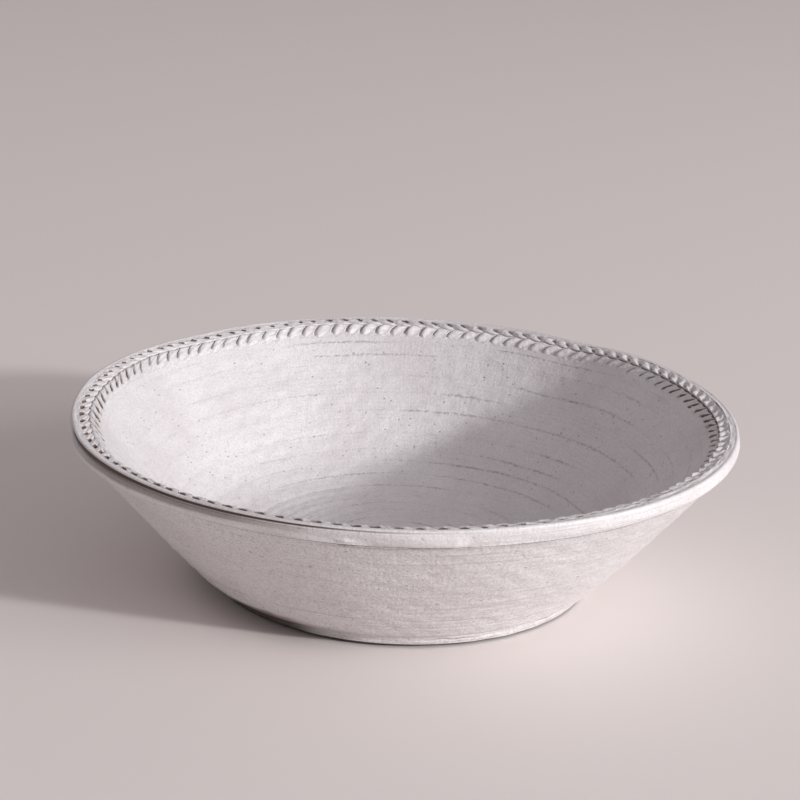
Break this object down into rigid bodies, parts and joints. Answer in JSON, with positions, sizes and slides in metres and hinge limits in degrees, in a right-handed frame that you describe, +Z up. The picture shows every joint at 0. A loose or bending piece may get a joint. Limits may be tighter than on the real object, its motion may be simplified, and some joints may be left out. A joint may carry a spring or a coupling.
{
  "type": "serving bowl",
  "caption": "Wide glazed clay serving bowl with sloping walls, a low turned foot ring, and a rolled rim that carries a herringbone braid of two cords.",
  "frame": {"origin": "centre of the circle that the foot ring stands on", "axes": "+Z up along the axis of the bowl; X and Y are level and have no preferred direction"},
  "size_m": [0.33, 0.33, 0.0864],
  "materials": {
    "white_glaze": "satin white glaze over throwing lines and pits",
    "foot_clay": "white glaze worn thin over the outside, bare clay underneath",
    "rim_glaze": "satin white glaze, thin over the edges",
    "braid_glaze": "satin white glaze with brown clay showing in the notches"
  },
  "bodies": {
    "root": {"bowl_body": "white_glaze", "foot_ring": "foot_clay", "rim_roll": "rim_glaze", "outer_braid_cord": "braid_glaze", "inner_braid_cord": "braid_glaze"}
  },
  "joints": []
}
